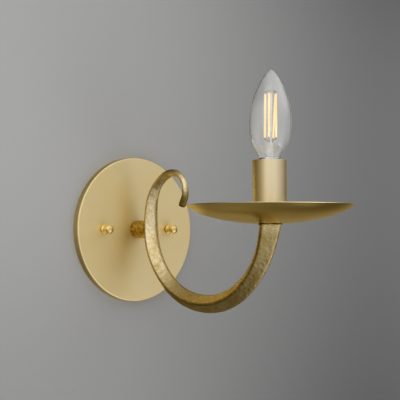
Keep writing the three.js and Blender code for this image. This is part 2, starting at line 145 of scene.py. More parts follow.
def smooth_line(points, per=6):
    """Centripetal curve through open profile points."""
    pts = [np.array(p, float) for p in points]
    pts = [2 * pts[0] - pts[1]] + pts + [2 * pts[-1] - pts[-2]]
    out = []
    for i in range(1, len(pts) - 2):
        p0, p1, p2, p3 = pts[i - 1:i + 3]
        t = [0.0]
        for a, b in ((p0, p1), (p1, p2), (p2, p3)):
            t.append(t[-1] + max(np.linalg.norm(b - a), 1e-9) ** 0.5)
        for k in range(per):
            s = t[1] + (t[2] - t[1]) * k / per
            a1 = (t[1] - s) / (t[1] - t[0]) * p0 + (s - t[0]) / (t[1] - t[0]) * p1
            a2 = (t[2] - s) / (t[2] - t[1]) * p1 + (s - t[1]) / (t[2] - t[1]) * p2
            a3 = (t[3] - s) / (t[3] - t[2]) * p2 + (s - t[2]) / (t[3] - t[2]) * p3
            b1 = (t[2] - s) / (t[2] - t[0]) * a1 + (s - t[0]) / (t[2] - t[0]) * a2
            b2 = (t[3] - s) / (t[3] - t[1]) * a2 + (s - t[1]) / (t[3] - t[1]) * a3
            out.append(tuple((t[2] - s) / (t[2] - t[1]) * b1 + (s - t[1]) / (t[2] - t[1]) * b2))
    out.append(tuple(pts[-2]))
    return out


def lathe(name, profile, segments, axis="Z", at=(0.0, 0.0), closed=True, wobble=None, angle=32.0):
    """Solid of revolution. profile is [(radius, height)] in mm. Axis Z turns about the vertical through at=(x, y) in
    metres; axis P turns about a line square to the wall through at=(x, z), and height is then the distance from the wall."""
    bm = bmesh.new()
    rings = []
    for r, h in profile:
        if r < 1e-6:
            rings.append([bm.verts.new(place(axis, at, 0.0, h, 0.0))])
            continue
        ring = []
        for k in range(segments):
            f = 2 * math.pi * k / segments
            rr, hh = (r, h) if wobble is None else wobble(r, h, f)
            ring.append(bm.verts.new(place(axis, at, rr, hh, f)))
        rings.append(ring)
    pairs = list(zip(rings, rings[1:])) + ([(rings[-1], rings[0])] if closed else [])
    for a, b in pairs:
        if len(a) == 1 and len(b) == 1:
            continue
        for k in range(segments):
            j = (k + 1) % segments
            if len(a) == 1:
                bm.faces.new((a[0], b[k], b[j]))
            elif len(b) == 1:
                bm.faces.new((a[k], b[0], a[j]))
            else:
                bm.faces.new((a[k], b[k], b[j], a[j]))
    return finish_bmesh(bm, name, angle)


def place(axis, at, r, h, f):
    if axis == "Z":
        return (at[0] + r * math.cos(f) * MM, at[1] + r * math.sin(f) * MM, h * MM)
    return (at[0] + r * math.cos(f) * MM, -h * MM, at[1] + r * math.sin(f) * MM)


def tube(name, points, radius, sides=12, per=8, cap=True, vary=None, angle=40.0):
    """Round wire or rod through points in mm ([x, p, z], p out from the wall), with rounded ends."""
    line = [Vector(q) for q in smooth_line([(x, -p, z) for x, p, z in points], per)]
    n = len(line)
    tang = []
    for i in range(n):
        t = line[min(n - 1, i + 1)] - line[max(0, i - 1)]
        tang.append(t.normalized())
    ref = Vector((1, 0, 0)) if abs(tang[0].x) < 0.8 else Vector((0, 1, 0))
    u = (ref - tang[0] * ref.dot(tang[0])).normalized()
    stations = []
    for i in range(n):
        u = (u - tang[i] * u.dot(tang[i])).normalized()
        stations.append((line[i], u.copy(), tang[i].cross(u), radius * (vary(i / (n - 1)) if vary else 1.0)))
    if cap:
        head, tail = [], []
        for k in range(1, 4):
            a = math.pi / 2 * k / 4
            c, ux, vx, r = stations[0]
            head.insert(0, (c - tang[0] * r * math.sin(a) * 0.7, ux, vx, r * math.cos(a)))
            c, ux, vx, r = stations[-1]
            tail.append((c + tang[-1] * r * math.sin(a) * 0.7, ux, vx, r * math.cos(a)))
        stations = head + stations + tail
    bm = bmesh.new()
    rings = []
    for c, ux, vx, r in stations:
        rings.append([bm.verts.new((c + ux * (r * math.cos(2 * math.pi * k / sides)) + vx * (r * math.sin(2 * math.pi * k / sides))) * MM)
                      for k in range(sides)])
    for a, b in zip(rings, rings[1:]):
        for k in range(sides):
            j = (k + 1) % sides
            bm.faces.new((a[k], b[k], b[j], a[j]))
    bm.faces.new(list(reversed(rings[0])))
    bm.faces.new(rings[-1])
    return finish_bmesh(bm, name, angle)


def cut(obj, *cutters):
    """Subtracts cutter objects and keeps the result as obj's own mesh."""
    for c in cutters:
        mod = obj.modifiers.new("cut", "BOOLEAN")
        mod.operation, mod.object, mod.solver = "DIFFERENCE", c, "EXACT"
    dg = bpy.context.evaluated_depsgraph_get()
    mesh = bpy.data.meshes.new_from_object(obj.evaluated_get(dg))
    obj.modifiers.clear()
    obj.data = mesh
    for c in cutters:
        bpy.data.objects.remove(c)
    for p in obj.data.polygons:
        p.use_smooth = True
    return obj


def weighted(obj):
    mod = obj.modifiers.new("normals", "WEIGHTED_NORMAL")
    mod.keep_sharp, mod.weight = True, 60
    return obj


# -------------------------------------------------------- material helpers
class Mat:
    """A Principled material with small helpers for procedural inputs in the object's own coordinates."""

    def __init__(self, name, **sockets):
        self.mat = bpy.data.materials.new(name)
        self.mat.use_nodes = True
        self.nt = self.mat.node_tree
        self.bsdf = self.nt.nodes["Principled BSDF"]
        self.set(**sockets)
        self.coord = self.nt.nodes.new("ShaderNodeTexCoord").outputs["Object"]
        self.normal = None

    def set(self, **sockets):
        for key, value in sockets.items():
            self.bsdf.inputs[key.replace("_", " ")].default_value = value

    def put(self, socket, value):
        if isinstance(value, bpy.types.NodeSocket):
            self.nt.links.new(value, socket)
        else:
            socket.default_value = value

    def node(self, kind, **props):
        n = self.nt.nodes.new(kind)
        for k, v in props.items():
            setattr(n, k, v)
        return n

    def math(self, op, a, b=0.0, c=None, clamp=False):
        n = self.node("ShaderNodeMath", operation=op, use_clamp=clamp)
        self.put(n.inputs[0], a)
        self.put(n.inputs[1], b)
        if c is not None:
            self.put(n.inputs[2], c)
        return n.outputs[0]

    def vec(self, op, a, b=(0.0, 0.0, 0.0)):
        n = self.node("ShaderNodeVectorMath", operation=op)
        self.put(n.inputs[0], a)
        if len(n.inputs) > 1 and op not in ("LENGTH", "NORMALIZE"):
            self.put(n.inputs[1], b)
        return n.outputs["Value"] if op in ("LENGTH", "DOT_PRODUCT", "DISTANCE") else n.outputs[0]

    def split(self, v=None):
        n = self.node("ShaderNodeSeparateXYZ")
        self.put(n.inputs[0], self.coord if v is None else v)
        return n.outputs

    def join(self, x, y, z):
        n = self.node("ShaderNodeCombineXYZ")
        for i, v in enumerate((x, y, z)):
            self.put(n.inputs[i], v)
        return n.outputs[0]

    def noise(self, scale, detail=3.0, rough=0.55, vector=None, distortion=0.0, stretch=None):
        n = self.node("ShaderNodeTexNoise")
        v = self.coord if vector is None else vector
        if stretch is not None:
            v = self.vec("MULTIPLY", v, stretch)
        self.put(n.inputs["Vector"], v)
        n.inputs["Scale"].default_value = scale
        n.inputs["Detail"].default_value = detail
        n.inputs["Roughness"].default_value = rough
        n.inputs["Distortion"].default_value = distortion
        return n.outputs["Fac"]

    def cells(self, scale, vector=None, feature="SMOOTH_F1", stretch=None, randomness=1.0, smoothness=0.35):
        n = self.node("ShaderNodeTexVoronoi", feature=feature)
        v = self.coord if vector is None else vector
        if stretch is not None:
            v = self.vec("MULTIPLY", v, stretch)
        self.put(n.inputs["Vector"], v)
        n.inputs["Scale"].default_value = scale
        n.inputs["Randomness"].default_value = randomness
        if feature == "SMOOTH_F1":
            n.inputs["Smoothness"].default_value = smoothness
        return n.outputs["Distance"]

    def attribute(self, name):
        return self.node("ShaderNodeAttribute", attribute_name=name).outputs["Vector"]

    def ramp(self, fac, stops, mode="LINEAR"):
        n = self.node("ShaderNodeValToRGB")
        n.color_ramp.interpolation = mode
        el = n.color_ramp.elements
        while len(el) < len(stops):
            el.new(0.5)
        for e, (pos, col) in zip(el, stops):
            e.position = pos
            e.color = (*col, 1.0) if len(col) == 3 else col
        self.put(n.inputs[0], fac)
        return n.outputs["Color"]

    def span(self, fac, lo, hi, out_lo, out_hi, smooth=False):
        n = self.node("ShaderNodeMapRange", clamp=True)
        if smooth:
            n.interpolation_type = "SMOOTHSTEP"
        for k, v in (("Value", fac), ("From Min", lo), ("From Max", hi), ("To Min", out_lo), ("To Max", out_hi)):
            self.put(n.inputs[k], v)
        return n.outputs["Result"]

    def mix(self, fac, a, b, blend="MIX"):
        n = self.node("ShaderNodeMix", data_type="RGBA", blend_type=blend)
        n.clamp_factor = True
        self.put(n.inputs[0], fac)
        self.put(n.inputs[6], a if isinstance(a, bpy.types.NodeSocket) else (*a, 1.0))
        self.put(n.inputs[7], b if isinstance(b, bpy.types.NodeSocket) else (*b, 1.0))
        return n.outputs[2]

    def bump(self, height, distance_mm, strength=1.0):
        n = self.node("ShaderNodeBump")
        n.inputs["Strength"].default_value = strength
        n.inputs["Distance"].default_value = distance_mm * MM
        self.put(n.inputs["Height"], height)
        if self.normal is not None:
            self.put(n.inputs["Normal"], self.normal)
        self.normal = n.outputs[0]
        self.put(self.bsdf.inputs["Normal"], self.normal)

    def base(self, v):
        self.put(self.bsdf.inputs["Base Color"], v)

    def rough(self, v):
        self.put(self.bsdf.inputs["Roughness"], v)


def give(obj, material):
    obj.data.materials.clear()
    obj.data.materials.append(material.mat)
    for p in obj.data.polygons:
        p.material_index = 0


# --------------------------------------------------------------- materials
def radius_about(mt, axis, at):
    x, y, z = mt.split()
    if axis == "Z":
        v = mt.join(mt.math("SUBTRACT", x, at[0]), mt.math("SUBTRACT", y, at[1]), 0.0)
    else:
        v = mt.join(mt.math("SUBTRACT", x, at[0]), 0.0, mt.math("SUBTRACT", z, at[1]))
    return mt.vec("LENGTH", v)


def satin_brass(name, axis, at, tone=(0.90, 0.785, 0.535), deep=(0.88, 0.75, 0.48), rough=0.42, lines=True, bright_above=None):
    mt = Mat(name, Metallic=1.0)
    drift = mt.noise(22.0, 2.0)
    mottle = mt.noise(900.0, 3.0)
    col = mt.mix(mt.span(mt.math("ADD", drift, mt.math("MULTIPLY", mottle, 0.25)), 0.45, 0.8, 0.0, 1.0), tone, deep)
    if bright_above is not None:                   # the rim is drawn lighter than the bowl
        z = mt.split()[2]
        col = mt.mix(mt.span(z, bright_above, bright_above + 0.0004, 0.0, 0.85), col, (0.97, 0.88, 0.62))
    mt.base(col)
    mt.rough(mt.math("ADD", mt.span(mottle, 0.3, 0.7, rough - 0.03, rough + 0.04), mt.span(drift, 0.3, 0.7, -0.02, 0.02)))
    if lines:
        r = radius_about(mt, axis, at)
        rings = mt.noise(9000.0, 2.0, vector=mt.join(r, 0.0, 0.0))
        mt.bump(rings, 0.010, 0.35)
    mt.bump(mottle, 0.012, 0.35)
    return mt


M = {}
M["canopy"] = satin_brass("satin_brass_canopy", "P", (0.0, 0.0), tone=(0.97, 0.845, 0.57), deep=(0.95, 0.81, 0.515), rough=0.53)
M["cover"] = satin_brass("satin_brass_cover", "Z", AXIS, tone=(0.90, 0.79, 0.57), deep=(0.89, 0.765, 0.52), rough=0.37, lines=False)
M["cover"].bump(M["cover"].noise(60.0, 3.0, stretch=(1.0, 1.0, 60.0)), 0.006, 0.3)
# the dish is given a darker brass than the canopy's same satin finish: painted shade for its underside
M["dish"] = satin_brass("satin_brass_dish", "Z", AXIS, tone=(0.79, 0.655, 0.365), deep=(0.72, 0.575, 0.28), rough=0.31, bright_above=0.01805)


def hammered():
    mt = Mat("hammered_brass", Metallic=1.0)
    way = mt.attribute("way")                      # (along, across, how near an edge)
    along, across, edge = mt.split(way)
    flat = mt.join(along, across, 0.0)
    facet = mt.cells(330.0, vector=mt.coord, smoothness=0.5)
    fine = mt.noise(820.0, 4.0, 0.6)
    grain = mt.noise(260.0, 4.0, 0.6, vector=flat, stretch=(1.0, 5.5, 1.0))
    patina = mt.noise(75.0, 4.0, 0.6)
    patch = mt.noise(150.0, 3.0, 0.6, distortion=0.6)
    worn = mt.span(mt.math("ADD", edge, mt.math("MULTIPLY", mt.math("SUBTRACT", fine, 0.5), 0.6)), 0.55, 0.95, 0.0, 1.0)
    col = mt.mix(mt.span(patina, 0.42, 0.66, 0.0, 1.0), (0.90, 0.78, 0.55), (0.80, 0.66, 0.41))
    col = mt.mix(mt.span(patch, 0.54, 0.66, 0.0, 0.55), col, (0.66, 0.48, 0.20))
    col = mt.mix(mt.span(patch, 0.46, 0.36, 0.0, 0.45), col, (0.97, 0.87, 0.64))
    col = mt.mix(mt.span(grain, 0.50, 0.72, 0.0, 0.75), col, (0.60, 0.46, 0.23))
    col = mt.mix(mt.span(fine, 0.54, 0.72, 0.0, 0.65), col, (0.36, 0.26, 0.11))
    # the lower sweep and the front rise are darker
    low = mt.span(along, 0.118, 0.190, 0.0, 1.0, smooth=True)
    col = mt.mix(mt.math("MULTIPLY", low, 0.55), col, (0.50, 0.40, 0.20), "MIX")
    # painted shade lies along the corners, for the narrow faces turned away from the light, broken by small worn spots;
    # the curled tip is darker too
    rim = mt.math("MULTIPLY", mt.span(edge, 0.58, 0.82, 0.0, 1.0), mt.span(along, 0.02, 0.07, 0.25, 0.60))
    col = mt.mix(rim, col, (0.42, 0.32, 0.15))
    col = mt.mix(mt.math("MULTIPLY", mt.math("MULTIPLY", worn, mt.span(patch, 0.5, 0.62, 0.0, 1.0)), 0.35), col, (0.92, 0.80, 0.54))
    col = mt.mix(mt.span(along, 0.006, 0.016, 0.85, 0.0, smooth=True), col, (0.30, 0.23, 0.10))
    # and a lighter band just under the dish
    top = mt.math("MULTIPLY", mt.span(mt.split()[2], -0.0065, -0.0015, 0.0, 1.0, smooth=True), mt.span(fine, 0.38, 0.56, 1.0, 0.2))
    rise = mt.math("MULTIPLY", top, mt.span(along, 0.22, 0.24, 0.0, 0.8))
    col = mt.mix(rise, col, (0.93, 0.80, 0.52))
    mt.base(col)
    r = mt.math("ADD", mt.span(fine, 0.3, 0.7, 0.33, 0.50), mt.span(patina, 0.4, 0.7, -0.03, 0.05))
    mt.rough(mt.math("ADD", r, mt.math("MULTIPLY", mt.span(edge, 0.50, 0.72, 0.0, 1.0), 0.08)))
    mt.bump(facet, 0.30, 0.45)
    mt.bump(patch, 0.20, 0.35)
    mt.bump(grain, 0.07, 0.55)
    mt.bump(fine, 0.06, 0.6)
    return mt


M["arm"] = hammered()


def aged(name="aged_brass", light=(0.60, 0.46, 0.23), dark=(0.33, 0.25, 0.11)):
    mt = Mat(name, Metallic=1.0)
    a = mt.noise(420.0, 4.0, 0.6)
    b = mt.noise(1600.0, 3.0, 0.6)
    c = mt.noise(160.0, 2.0)
    col = mt.mix(mt.span(a, 0.42, 0.62, 0.0, 1.0), light, dark)
    col = mt.mix(mt.span(b, 0.58, 0.76, 0.0, 0.6), col, (0.88, 0.74, 0.44))
    mt.base(col)
    mt.rough(mt.span(b, 0.3, 0.7, 0.26, 0.42))
    mt.bump(c, 0.35, 0.5)
    mt.bump(a, 0.12, 0.5)
    mt.bump(b, 0.04, 0.5)
    return mt


M["stub"] = aged()
M["bead"] = aged("brazed_bead", (0.66, 0.52, 0.28), (0.20, 0.15, 0.07))


def polished(name="polished_brass", col=(0.95, 0.79, 0.44), deep=(0.87, 0.65, 0.28), rough=0.22):
    mt = Mat(name, Metallic=1.0)
    a = mt.noise(500.0, 3.0)
    b = mt.noise(2600.0, 3.0)
    mt.base(mt.mix(mt.span(a, 0.4, 0.65, 0.0, 0.8), col, deep))
    mt.rough(mt.span(b, 0.3, 0.7, rough - 0.03, rough + 0.05))
    mt.bump(a, 0.03, 0.4)
    return mt


M["polished"] = polished(col=(0.92, 0.75, 0.42), deep=(0.84, 0.64, 0.30), rough=0.36)


def plain_metal(name, light, dark, rough, scale=600.0, bump=0.03, streak=None):
    mt = Mat(name, Metallic=1.0)
    a = mt.noise(scale, 4.0, 0.6, stretch=streak)
    b = mt.noise(scale * 4.0, 2.0)
    c = mt.cells(scale * 0.5, feature="F1")
    mt.base(mt.mix(mt.span(mt.math("ADD", a, mt.math("MULTIPLY", c, 0.25)), 0.4, 0.85, 0.0, 1.0), light, dark))
    mt.rough(mt.span(a, 0.3, 0.7, rough - 0.06, rough + 0.08))
    mt.bump(a, bump, 0.4)
    mt.bump(b, bump * 0.4, 0.3)
    return mt


M["raw"] = plain_metal("raw_brass", (0.78, 0.62, 0.31), (0.58, 0.42, 0.17), 0.34)
M["zinc"] = plain_metal("zinc_steel", (0.74, 0.75, 0.76), (0.52, 0.55, 0.58), 0.36, 260.0)
M["steel"] = plain_metal("nut_steel", (0.72, 0.72, 0.71), (0.50, 0.51, 0.52), 0.28, 700.0)
M["nickel"] = plain_metal("nickel", (0.84, 0.83, 0.81), (0.70, 0.69, 0.67), 0.22, 900.0, 0.015)
M["copper"] = plain_metal("copper", (0.85, 0.47, 0.30), (0.58, 0.27, 0.16), 0.33, 700.0)
M["lead"] = plain_metal("lead_wire", (0.30, 0.27, 0.24), (0.15, 0.13, 0.12), 0.34, 900.0, 0.01)
M["contact"] = plain_metal("contact_bronze", (0.80, 0.52, 0.27), (0.62, 0.36, 0.17), 0.30, 700.0)


def painted(name, light, dark, rough, scale=500.0, bump=0.03, spec=0.5, cells=False):
    mt = Mat(name, Metallic=0.0, Specular_IOR_Level=spec)
    a = mt.noise(scale, 4.0, 0.6)
    b = mt.cells(scale * 2.0, feature="F1") if cells else mt.noise(scale * 5.0, 2.0)
    mt.base(mt.mix(mt.span(a, 0.35, 0.7, 0.0, 1.0), light, dark))
    mt.rough(mt.span(b, 0.2, 0.7, rough - 0.06, rough + 0.08))
    mt.bump(a, bump, 0.4)
    mt.bump(b, bump * 0.5, 0.4)
    return mt


M["green"] = painted("green_chromate", (0.07, 0.36, 0.13), (0.03, 0.22, 0.08), 0.35)
M["phenolic"] = painted("phenolic", (0.055, 0.045, 0.038), (0.030, 0.024, 0.020), 0.34, 350.0)
M["fibre"] = painted("fibre_liner", (0.60, 0.46, 0.30), (0.44, 0.32, 0.19), 0.85, 900.0, 0.06, 0.25)
M["insulator"] = painted("lamp_black_glass", (0.012, 0.012, 0.014), (0.03, 0.028, 0.03), 0.10, 500.0, 0.01)
M["board"] = painted("circuit_board", (0.03, 0.20, 0.07), (0.02, 0.12, 0.05), 0.42, 700.0, 0.02)
M["black_wire"] = painted("wire_black", (0.016, 0.016, 0.017), (0.032, 0.031, 0.030), 0.42, 800.0, 0.02)
M["white_wire"] = painted("wire_white", (0.80, 0.79, 0.75), (0.66, 0.64, 0.58), 0.45, 800.0, 0.02)


def glass(name, tint=(0.985, 0.99, 0.99), wave=0.015, milk=0.05, painted_glow=0.030):
    """Thin blown glass: clear, with the faint vertical drawing bands, smudges and inner haze that a lit bulb shows; the
    haze also glows white, a painted glow standing in for the filaments' light scattered in the glass.
    """
    mt = Mat(name, Metallic=0.0, IOR=1.28, Specular_IOR_Level=1.0, Coat_Weight=1.0, Coat_IOR=1.75, Coat_Roughness=0.09)
    x, y, z = mt.split()
    turn = mt.math("ARCTAN2", mt.math("SUBTRACT", y, AXIS[1]), mt.math("SUBTRACT", x, AXIS[0]))
    bands = mt.noise(4.5, 3.0, 0.6, vector=mt.join(turn, 0.0, mt.math("MULTIPLY", z, 3.0)))
    haze = mt.noise(60.0, 4.0, 0.6)
    veil = mt.math("MULTIPLY_ADD", haze, 0.5, mt.math("MULTIPLY", bands, 0.5))
    mt.base(mt.mix(haze, tint, tuple(c * 0.985 for c in tint)))
    mt.put(mt.bsdf.inputs["Transmission Weight"], mt.span(veil, 0.35, 0.65, 1.0 - milk * 0.4, 1.0 - milk * 1.6))
    mt.rough(mt.span(haze, 0.45, 0.75, 0.0, 0.03))
    mt.set(Emission_Color=(1.0, 1.0, 1.0, 1.0))
    # painted glow: the glass emits a faint white light of its own, strongest in the haze
    mt.put(mt.bsdf.inputs["Emission Strength"], mt.span(veil, 0.36, 0.64, painted_glow * 0.4, painted_glow * 1.6))
    mt.bump(mt.noise(70.0, 2.0, stretch=(1.0, 1.0, 0.25)), wave, 0.5)
    return mt


M["glass"] = glass("clear_glass")
# the stem is milkier, with a stronger painted glow
M["stem"] = glass("stem_glass", (0.98, 0.98, 0.98), 0.05, 0.45, 0.09)


def filament():
    mt = Mat("filament", Metallic=0.0, Roughness=0.5)
    beads = mt.noise(900.0, 2.0)
    grow = mt.noise(120.0, 2.0, stretch=(1.0, 1.0, 0.3))
    mt.base(mt.mix(mt.span(beads, 0.35, 0.65, 0.0, 1.0), (0.62, 0.42, 0.14), (0.72, 0.52, 0.22)))
    mt.put(mt.bsdf.inputs["Emission Color"], mt.mix(mt.span(beads, 0.35, 0.65, 0.0, 1.0), (1.0, 0.70, 0.30), (1.0, 0.78, 0.42)))
    mt.put(mt.bsdf.inputs["Emission Strength"], mt.span(grow, 0.3, 0.7, 0.72, 0.92))
    mt.bump(beads, 0.12, 0.5)
    return mt


M["filament"] = filament()

# ----------------------------------------------------------- canopy and hub
H = 6.67
canopy_profile = fillet([
    (5.2, H, 0.12), (69.85, H, 1.25), (69.85, 0.0, 0.12), (68.65, 0.0, 0.12), (68.65, H - 1.2, 0.6), (5.2, H - 1.2, 0.12),
], 0.1, 7)
canopy = lathe("canopy_shell", canopy_profile, 256, "P")
holes = []
for x in (-39.6, 39.6):
    holes.append(lathe(f"cutter_{'l' if x < 0 else 'r'}", [(0, 3.0), (2.4, 3.0), (2.4, 9.0), (0, 9.0)], 48, "P", (x * MM, 0.0), closed=False))
cut(canopy, *holes)
weighted(canopy)
give(canopy, M["canopy"])
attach(canopy, "root"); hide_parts("canopy_backplate")

# ball cap nuts: foot with a rolled bead, short neck, slightly flattened ball
for side, x in (("left", -39.6), ("right", 39.6)):
    prof = [(0.0, 12.0), (2.25, 12.0), (2.3, 11.9), (2.3, 7.1), (2.42, 6.97)]
    prof += [(4.25, 6.97)]
    bead = [(4.25, 6.97), (4.58, 7.12), (4.76, 7.45), (4.78, 7.85), (4.62, 8.22), (4.30, 8.52), (3.95, 8.85), (3.66, 9.25), (3.52, 9.72), (3.50, 10.2)]
    prof += smooth_line(bead, 3)[1:]
    for i in range(25):
        f = (0.262 + 0.738 * i / 24) * math.pi
        prof.append((max(0.0, 4.6 * math.sin(f)) if i < 24 else 0.0, 13.9 - 3.9 * math.cos(f)))
    nut = lathe(f"ball_nut_{side}", prof, 64, "P", (x * MM, 0.0), closed=False)
    give(nut, M["polished"])
    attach(nut, "root"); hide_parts(f"cap_nut_{side}")


# ------------------------------------------------------------------ the arm
ARM = [
    (73.55, 22.75, 6.70), (76.55, 28.60, 6.25), (77.67, 33.89, 5.88), (77.12, 39.17, 5.62),
    (74.97, 44.03, 5.52), (71.44, 47.99, 5.50), (66.89, 50.74, 5.62), (61.75, 52.09, 5.92),
    (56.20, 51.97, 6.38), (50.75, 50.45, 6.98), (45.75, 48.08, 7.60), (41.00, 44.85, 8.24),
    (36.45, 40.65, 9.00), (32.80, 35.10, 9.82), (30.10, 29.05, 10.60), (28.40, 21.60, 11.33),
    (27.50, 13.20, 12.00), (27.40, 5.40, 12.50), (27.99, -3.87, 12.91), (30.02, -14.73, 13.24),
    (33.95, -25.05, 13.37), (39.51, -34.60, 13.33), (46.39, -43.25, 13.15), (54.50, -50.77, 12.88),
    (63.65, -56.97, 12.62), (73.61, -61.75, 12.44), (84.17, -65.02, 12.40), (95.07, -66.85, 12.46),
    (106.12, -67.34, 12.57), (117.13, -66.43, 12.68), (127.93, -64.04, 12.79), (138.28, -60.16, 12.89),
    (147.93, -54.79, 12.99), (156.68, -48.03, 13.12), (164.49, -40.21, 13.36), (171.21, -31.43, 13.82),
    (176.59, -21.78, 14.59), (180.51, -11.44, 15.76), (183.13, -0.70, 17.33), (184.62, 7.10, 18.60),
]
ARM_TOP = 3.0


def arm_stations(step=0.55):
    dense = smooth_line(ARM, 24)
    pts = np.array(dense)
    seg = np.linalg.norm(np.diff(pts[:, :2], axis=0), axis=1)
    s = np.concatenate([[0], np.cumsum(seg)])
    n = int(s[-1] / step)
    u = np.linspace(0, s[-1], n + 1)
    out = np.stack([np.interp(u, s, pts[:, k]) for k in range(3)], 1)
    return u, out


def square_ring(side, ratio, arc=9, flat=11):
    """Points of a rounded square standing on its corner: (across, outward, edge nearness)."""
    r = side * ratio
    d = (side / 2 - r) * math.sqrt(2)
    pts = []
    for q in range(4):
        cx, cy = d * math.cos(q * math.pi / 2), d * math.sin(q * math.pi / 2)
        for k in range(arc):
            f = q * math.pi / 2 + (k / (arc - 1) - 0.5) * math.pi / 2
            pts.append((cx + r * math.cos(f), cy + r * math.sin(f), 1.0 - abs(k / (arc - 1) - 0.5) * 0.9))
        ax, ay = cx + r * math.cos(q * math.pi / 2 + math.pi / 4), cy + r * math.sin(q * math.pi / 2 + math.pi / 4)
        g = (q + 1) * math.pi / 2
        bx, by = d * math.cos(g) + r * math.cos(g - math.pi / 4), d * math.sin(g) + r * math.sin(g - math.pi / 4)
        for k in range(1, flat):
            t = k / flat
            pts.append((ax + (bx - ax) * t, ay + (by - ay) * t, max(0.0, 0.5 - 2.2 * min(t, 1 - t))))
    return pts


def sweep_arm():
    s_all, st = arm_stations()
    n, total = len(st), s_all[-1]
    bm = bmesh.new()
    way = bm.verts.layers.float_vector.new("way")
    rows = []

    def axes(i):
        a, b = st[max(0, i - 2)], st[min(n - 1, i + 2)]
        t = Vector((0.0, -(b[0] - a[0]), b[1] - a[1])).normalized()
        return t, Vector((0.0, -t.z, t.y))

    def ring(i, scale=1.0, shift=0.0, amount=1.0):
        p, z, side = st[i]
        t, out = axes(i)
        frac = s_all[i] / total
        ratio = 0.17 + 0.2 * max(0.0, 1 - frac / 0.32)
        body = min(1.0, max(0.0, (side - 4.0) / 6.0))
        c = Vector((0.0, -p, z)) + t * shift
        row, perim, prev = [], 0.0, None
        for x, w, e in square_ring(side, ratio):
            x, w = x * scale, w * scale
            q = c + Vector((x, 0, 0)) + out * w
            nrm = (Vector((x, 0, 0)) + out * w).normalized()
            cell = noise.voronoi(q * 0.27, distance_metric="DISTANCE")[0]
            facet = (cell[0] * cell[0] - 0.30) * 0.30
            grain = noise.noise(q * 0.75) * 0.050 + noise.noise(q * 1.45) * 0.026
            slow = noise.noise(q * 0.10) * 0.10
            dent = -max(0.0, noise.noise(q * 0.42 + Vector((7, 1, 3))) - 0.1) * 0.34 * e
            q = q + nrm * ((facet * (1 - 0.4 * e) + grain + slow + dent) * (0.30 + 0.70 * body) * amount)
            if prev is not None:
                perim += math.hypot(x - prev[0], w - prev[1])
            prev = (x, w)
            # past the flat end, points slide back along the bar onto the end plane
            if i > n * 0.8 and q.z > ARM_TOP:
                q = q - t * ((q.z - ARM_TOP) / t.z)
            v = bm.verts.new(q * MM)
            v[way] = (s_all[i] * MM, perim * MM, e)
            row.append(v)
        return row

    tip = st[0][2] / 2
    for scale, shift in ((0.10, -0.62), (0.24, -0.72), (0.40, -1.05), (0.56, -1.42), (0.70, -1.50), (0.82, -1.30), (0.91, -0.92), (0.97, -0.45)):
        rows.append(ring(0, scale, shift * tip / 2.3, 0.3))
    for i in range(n):
        rows.append(ring(i))
        if i > n * 0.8 and min(v.co.z for v in rows[-1]) > (ARM_TOP - 0.02) * MM:
            break
    k = len(rows[0])
    for a, b in zip(rows, rows[1:]):
        for j in range(k):
            quad = (a[j], a[(j + 1) % k], b[(j + 1) % k], b[j])
            if all((q.co - quad[(m_ + 1) % 4].co).length > 1e-9 for m_, q in enumerate(quad)):
                bm.faces.new(quad)
    bm.faces.new(list(reversed(rows[0])))
    bm.faces.new(rows[-1])
    return bm


arm = finish_bmesh(sweep_arm(), "arm_bar", 50.0)
give(arm, M["arm"])
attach(arm, "root"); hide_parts("arm")


# hub stub: worn round bar with a slightly rounded plate end, coped to the arm's edge
def stub_wobble(r, h, f):
    if r < 6.0:
        return r, h
    q = Vector((math.cos(f) * 2.2, math.sin(f) * 2.2, h * 0.34))
    return r + 0.16 * noise.noise(q) - 0.05, h


def coped(r, h, f):
    """End of the stub follows the square bar: the arm's corner points at the stub, so the ends rise away from it."""
    r2, h2 = stub_wobble(r, h, f)
    if h > 12.0:
        side, corner = 12.75, 0.17 * 12.75
        x, z = r2 * math.cos(f), r2 * math.sin(f)
        centre = 27.75
        # distance from the wall of the bar's near surface at this x
        flat_ = side / 2 * math.sqrt(2) - abs(x)
        tip_ = (side / 2 - corner) * math.sqrt(2) + math.sqrt(max(0.0, corner * corner - x * x)) if abs(x) < corner * 0.7071 else flat_
        surface = centre - (tip_ if abs(x) < corner * 0.7071 else flat_)
        surface += 0.0052 * (z - 3.0) ** 2
        h2 = h2 - 40.0 + surface - 0.25
    return r2, h2


stub_profile = [(5.2, 6.97), (7.4, 6.97)] + [(8.6 - 1.1 + 1.1 * math.sin(a), 6.97 + 1.1 - 1.1 * math.cos(a)) for a in np.linspace(0.15, math.pi / 2, 7)]
stub_profile += [(8.6, h) for h in np.linspace(9.0, 12.0, 6)]
stub_profile += [(8.6, 40.0), (5.2, 40.0), (5.2, 12.0)]
# the barrel between the plate end and the coped end gets its own rings
def build_stub():
    bm = bmesh.new()
    seg = 96
    prof = stub_profile
    rings = []
    for r, h in prof:
        rings.append([bm.verts.new(place("P", (0.0, 0.0), *coped(r, h, 2 * math.pi * k / seg), 2 * math.pi * k / seg)) for k in range(seg)])
    idx = next(i for i, (r, h) in enumerate(prof) if h == 40.0)
    extra = []
    for t in np.linspace(0.12, 0.88, 8):
        row = []
        for k in range(seg):
            f = 2 * math.pi * k / seg
            a = coped(8.6, 12.0, f)
            b = coped(8.6, 40.0, f)
            h = a[1] + (b[1] - a[1]) * t
            r = stub_wobble(8.6, h, f)[0]
            row.append(bm.verts.new(place("P", (0.0, 0.0), r, h, f)))
        extra.append(row)
    rings = rings[:idx] + extra + rings[idx:]
    for a, b in list(zip(rings, rings[1:])) + [(rings[-1], rings[0])]:
        for k in range(seg):
            j = (k + 1) % seg
            bm.faces.new((a[k], b[k], b[j], a[j]))
    return finish_bmesh(bm, "hub_collar", 40.0)


stub = build_stub()
give(stub, M["stub"])
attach(stub, "root"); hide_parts("hub_stub")

